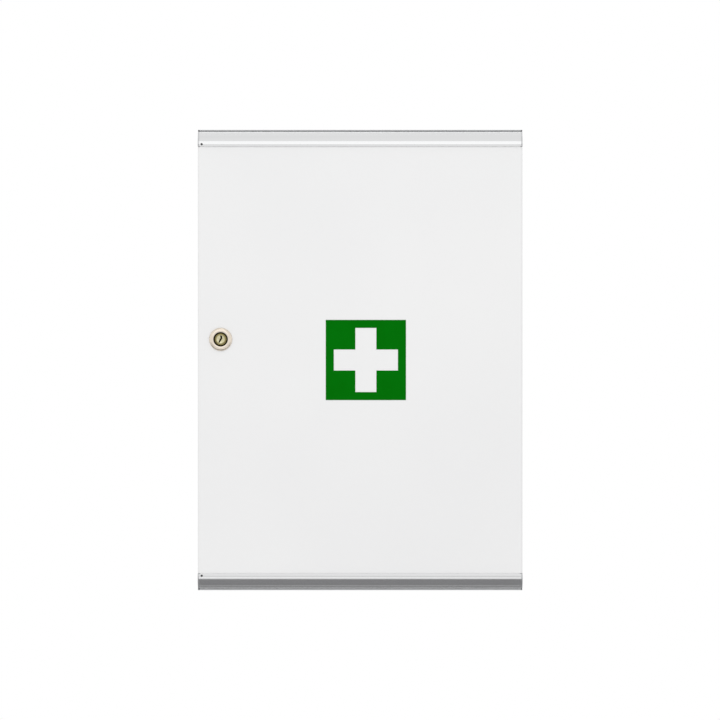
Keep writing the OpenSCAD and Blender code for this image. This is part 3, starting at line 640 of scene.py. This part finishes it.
def capScrews():
    place = {"face": 161.93, "front": -137.8, "height": 218.4, "sharpAt": 35}
    rows = []
    for side in (1, -1):
        turn = Matrix.Rotation(side * math.pi / 2, 4, "Y")
        spot = Matrix.Translation((side * place["face"], place["front"], place["height"]))
        mesh = meshFrom("screwUnit", crossScrew(), Matrix.Scale(mm, 4) @ spot @ turn)
        rows.append(rowOfCopies("capScrewRow", mesh, 2, (0, 0, -2 * place["height"]), "zinc"))
    joinPieces("capScrews", rows, "rail_cap_screws", place["sharpAt"])


def railPins():
    pin = {
        "x": -158.0, "height": 215.1, "shank": 0.8, "head": 1.1, "back": -136.3, "seat": -138.95,
        "front": -139.45, "middle": 0.01, "endBreak": 0.1,
        "dome": ((0.0, 0.25), (0.1, 0.08), (0.35, 0.0)), "steps": 24, "sharpAt": 40,
    }
    outline = [
        (pin["middle"], pin["back"]), (pin["shank"] - pin["endBreak"], pin["back"]),
        (pin["shank"], pin["back"] - pin["endBreak"]), (pin["shank"], pin["seat"]),
        (pin["head"], pin["seat"]),
    ]
    outline += [(pin["head"] - inward, pin["front"] + behind) for inward, behind in pin["dome"]]
    outline.append((pin["middle"], pin["front"]))

    def bend(angle, radius, depth):
        across, up = radius * math.cos(angle), radius * math.sin(angle)
        return ((pin["x"] + across) * mm, depth * mm, (pin["height"] + up) * mm)

    mesh = meshFrom("pinUnit", turnedShape(outline, pin["steps"], bend))
    row = rowOfCopies("railPinRow", mesh, 2, (0, 0, -2 * pin["height"]), "zinc")
    pins = joinPieces("railPins", [row], "rail_pins", pin["sharpAt"])
    pins.data.materials[0] = darkSteel


capScrews()
railPins()
print("screws and pins set")


# Painted weld marks where the side sheets lap the top and bottom panels

def weldMarks():
    weld = {
        # radius and rise
        "profile": ((1.2, 0.015), (1.7, 0.05), (2.0, 0.06), (2.25, 0.03), (2.4, -0.02)),
        "plane": 160.5, "height": 222.0, "first": -104.0, "step": 24.0, "count": 5, "steps": 20,
    }
    angles = [2 * math.pi * i / weld["steps"] for i in range(weld["steps"])]
    for side, sideName in ((-1, "Left"), (1, "Right")):
        for end, endName in ((-1, "Lower"), (1, "Upper")):
            shape = bmesh.new()
            rings = []
            for radius, rise in weld["profile"]:
                rings.append([
                    shape.verts.new((rise, radius * math.cos(angle), radius * math.sin(angle)))
                    for angle in angles])
            shape.faces.new(rings[0])
            for inner, outer in zip(rings, rings[1:]):
                for i in range(weld["steps"]):
                    k = (i + 1) % weld["steps"]
                    shape.faces.new((inner[i], outer[i], outer[k], inner[k]))
            spot = Matrix.Translation((side * weld["plane"], weld["first"], end * weld["height"]))
            mirror = Matrix.Scale(side, 4, (1, 0, 0))
            mesh = meshFrom("weldUnit", shape, Matrix.Scale(mm, 4) @ spot @ mirror)
            if sum(face.normal.x for face in mesh.polygons) * side < 0:
                mesh.flip_normals()
            name = "weldMarks" + sideName + endName
            piece = rowOfCopies(name, mesh, weld["count"], (0, weld["step"], 0), "powder_coat")
            piece.data.shade_smooth()
            addTo(piece, "cabinet", "powder_coat")


weldMarks()
print("weld marks set")


# Camera, floor and light, in metres and watts

def makeCamera():
    view = {"distance": 3.0, "aside": -0.00015, "lens": 150.4, "sensor": 36.0, "clipEnd": 50.0}
    camera = bpy.data.objects.new("camera", bpy.data.cameras.new("camera"))
    camera.data.lens = view["lens"]
    camera.data.sensor_width = view["sensor"]
    camera.data.clip_end = view["clipEnd"]
    camera.location = (view["aside"], skinFront * mm - view["distance"], 0)
    camera.rotation_euler = (math.radians(90), 0, 0)
    bpy.context.collection.objects.link(camera)
    bpy.context.scene.camera = camera
    bpy.context.scene.view_settings.view_transform = "Standard"


def makeCard(name, size, centre, facing, cloth, tone, mirroredOnly=False):
    paperRough = 0.9
    material = bpy.data.materials.new(cloth)
    material.use_nodes = True
    shader = material.node_tree.nodes["Principled BSDF"]
    shader.inputs["Base Color"].default_value = (*tone, 1)
    shader.inputs["Roughness"].default_value = paperRough
    mesh = bpy.data.meshes.new(name)
    x, y = size[0] / 2, size[1] / 2
    mesh.from_pydata([(-x, -y, 0), (x, -y, 0), (x, y, 0), (-x, y, 0)], [], [(0, 1, 2, 3)])
    turn = Vector(facing).to_track_quat("Z", "Y").to_matrix().to_4x4()
    mesh.transform(Matrix.Translation(centre) @ turn)
    mesh.materials.append(material)
    card = linkPiece(name, mesh)
    if mirroredOnly:
        card.visible_camera = False
        card.visible_diffuse = False
        card.visible_shadow = False
        card.visible_transmission = False


def makeWorld():
    light = {"ambient": 0.885, "mirrored": 1.0, "seen": 1.0}
    world = bpy.data.worlds.new("studio")
    bpy.context.scene.world = world
    world.use_nodes = True
    tree = world.node_tree
    tree.nodes.clear()
    path = tree.nodes.new("ShaderNodeLightPath").outputs
    seen = mathNode(tree, "MAXIMUM", path["Is Camera Ray"], path["Is Transmission Ray"])
    unseen = rangeNode(tree, path["Is Glossy Ray"], 0.0, 1.0, light["ambient"], light["mirrored"])
    strength = rangeNode(tree, seen, 0.0, 1.0, unseen, light["seen"])
    back = addNode(tree, "ShaderNodeBackground", {"Color": (1, 1, 1, 1), "Strength": strength})
    out = tree.nodes.new("ShaderNodeOutputWorld")
    tree.links.new(back.outputs[0], out.inputs[0])


def areaLamp(name, power, size, spot, aim, hiddenFrom=None):
    lamp = bpy.data.lights.new(name, "AREA")
    lamp.shape = "RECTANGLE"
    lamp.size, lamp.size_y = size
    lamp.energy = power
    holder = bpy.data.objects.new(name, lamp)
    holder.location = spot
    holder.rotation_euler = (Vector(aim) - Vector(spot)).to_track_quat("-Z", "Y").to_euler()
    if hiddenFrom:
        setattr(holder, "visible_" + hiddenFrom, False)
    bpy.context.collection.objects.link(holder)


makeCamera()
makeWorld()
makeCard("studioFloor", size=(7.0, 7.0), centre=(0, 0, -0.95), facing=(0, 0, 1),
         cloth="floorPaper", tone=(0.80, 0.80, 0.80))
# a grey card under the object, as a photographer sets one, which the lower rail mirrors
makeCard("darkFlag", size=(2.4, 0.67), centre=(0, -0.135, -0.62), facing=(0, 0, 1),
         cloth="flagCloth", tone=(0.265, 0.265, 0.27), mirroredOnly=True)
# a grey card high behind the object, which only the lock's outer rim mirrors
makeCard("rearFlag", size=(2.4, 2.0), centre=(0, 1.6, 1.6), facing=(0, 0, -1),
         cloth="rearCloth", tone=(0.40, 0.40, 0.40), mirroredOnly=True)
# three soft boxes that the metal mirrors, and the main light, which it doesn't
areaLamp("softboxAbove", power=0.85, size=(0.7, 0.6), spot=(0, -0.14, 2.0), aim=(0, -0.14, 0))
areaLamp("softboxFront", power=4.4, size=(2.1, 2.1), spot=(-0.2, -2.49, 1.35), aim=(0, -0.14, 0.23),
         hiddenFrom="camera")
areaLamp("softboxLow", power=0.45, size=(1.6, 0.28), spot=(0, -1.06, -0.83), aim=(0, -0.14, -0.23),
         hiddenFrom="camera")
areaLamp("keyLight", power=12.5, size=(2.1, 2.0), spot=(-0.2, -2.3, 1.72), aim=(0, -0.14, 0.1),
         hiddenFrom="glossy")
print("studio set")
